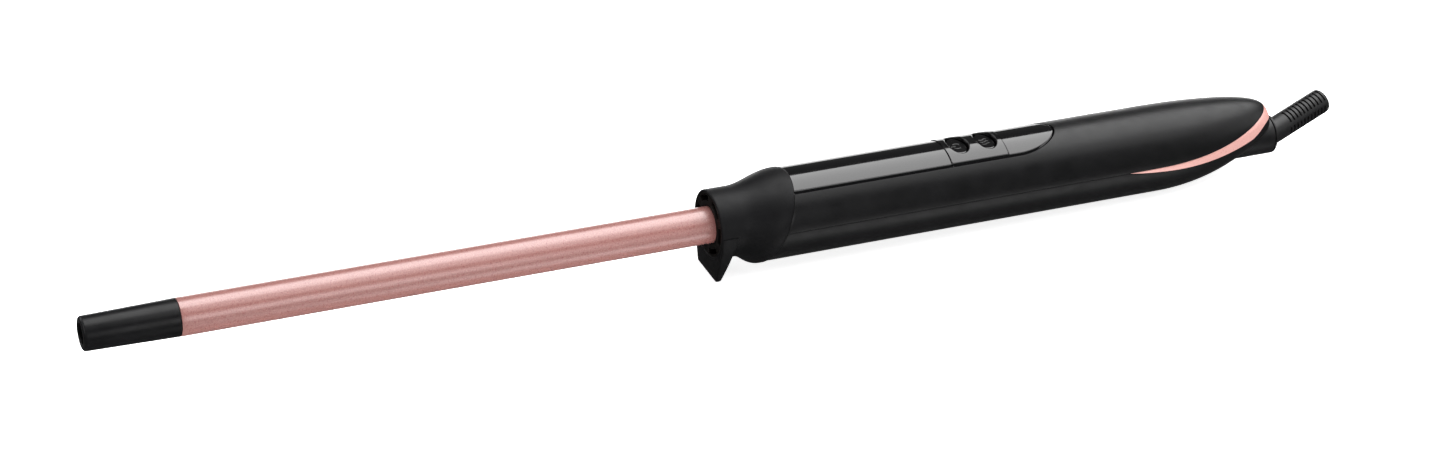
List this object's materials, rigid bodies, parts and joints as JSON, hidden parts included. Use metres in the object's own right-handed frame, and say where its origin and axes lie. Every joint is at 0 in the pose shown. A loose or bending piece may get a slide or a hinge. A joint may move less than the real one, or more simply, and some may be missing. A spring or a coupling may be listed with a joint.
{
  "type": "curling iron",
  "caption": "Slim clampless curling wand: coated heated rod with a cool tip, bell collar with rest foot, two-button handle with gloss strip and a swivel cord outlet.",
  "frame": {"origin": "on the rod's axis at the collar's front face", "axes": "+X along the axis towards the cord outlet, +Z towards the buttons, +Y to the handle's side"},
  "size_m": [0.3623, 0.0248, 0.0269],
  "materials": {
    "rose_coating": "fine-speckled satin ceramic coating",
    "tip_plastic": "satin heat-resistant plastic",
    "collar_plastic": "matt moulded plastic",
    "vent_plastic": "matt moulded plastic",
    "shell_plastic": "soft satin plastic",
    "gloss_plastic": "polished",
    "rose_trim": "satin metallic lacquer",
    "outlet_plastic": "satin plastic",
    "boot_rubber": "satin rubber",
    "screw_steel": "plated",
    "inner_aluminium": "mill finish",
    "ptc_ceramic": "fired ceramic",
    "contact_brass": "bright",
    "film_amber": "clear film",
    "sensor_glass": "glass bead and sleeves",
    "holder_resin": "dark heat-resistant resin",
    "wire_silicone": "silicone sleeving",
    "fuse_metal": "plated can",
    "board_laminate": "solder mask",
    "part_resin": "moulded epoxy",
    "capacitor_resin": "dipped resin",
    "led_lens": "tinted lens",
    "plunger_plastic": "moulded"
  },
  "bodies": {
    "handle": {"barrel": "rose_coating", "tip_cap": "tip_plastic", "collar": "collar_plastic", "rest_foot": "collar_plastic", "vent_ring": "vent_plastic", "upper_shell": "shell_plastic", "lower_shell": "shell_plastic", "front_inlay": "gloss_plastic", "control_inlay": "gloss_plastic", "rear_inlay": "gloss_plastic", "accent_trim": "rose_trim", "tail_socket": "outlet_plastic", "tip_screw": "screw_steel", "shell_screws": "screw_steel", "board_screws": "screw_steel", "tip_anchor": "inner_aluminium", "upper_heat_spreader": "inner_aluminium", "lower_heat_spreader": "inner_aluminium", "ptc_tablets": "ptc_ceramic", "electrode_strips": "contact_brass", "brush_contacts": "contact_brass", "insulating_films": "film_amber", "thermistor": "sensor_glass", "barrel_holder": "holder_resin", "brush_carrier": "holder_resin", "heater_leads": "wire_silicone", "supply_wires": "wire_silicone", "thermal_fuse": "fuse_metal", "circuit_board": "board_laminate", "controller_chip": "part_resin", "triac": "part_resin", "switch_bodies": "part_resin", "film_capacitor": "capacitor_resin", "indicator_led": "led_lens"},
    "power_button": {"power_button": "gloss_plastic", "power_plunger": "plunger_plastic"},
    "mode_button": {"mode_button": "gloss_plastic", "mode_plunger": "plunger_plastic"},
    "swivel": {"cord_swivel": "outlet_plastic", "strain_relief": "boot_rubber", "ribbed_jacket": "boot_rubber", "slip_rings": "contact_brass", "retaining_ring": "screw_steel"}
  },
  "joints": [
    {"name": "power_press", "type": "slide", "parent": "handle", "child": "power_button", "axis": [0, 0, -1], "range_m": [0, 0.0005], "stiffness_N_per_m": 3000},
    {"name": "mode_press", "type": "slide", "parent": "handle", "child": "mode_button", "axis": [0, 0, -1], "range_m": [0, 0.0005], "stiffness_N_per_m": 3000},
    {"name": "cord_turn", "type": "hinge", "parent": "handle", "child": "swivel", "pos_m": [0.16, 0, -0.00215], "axis": [1, 0, 0], "continuous": true}
  ]
}
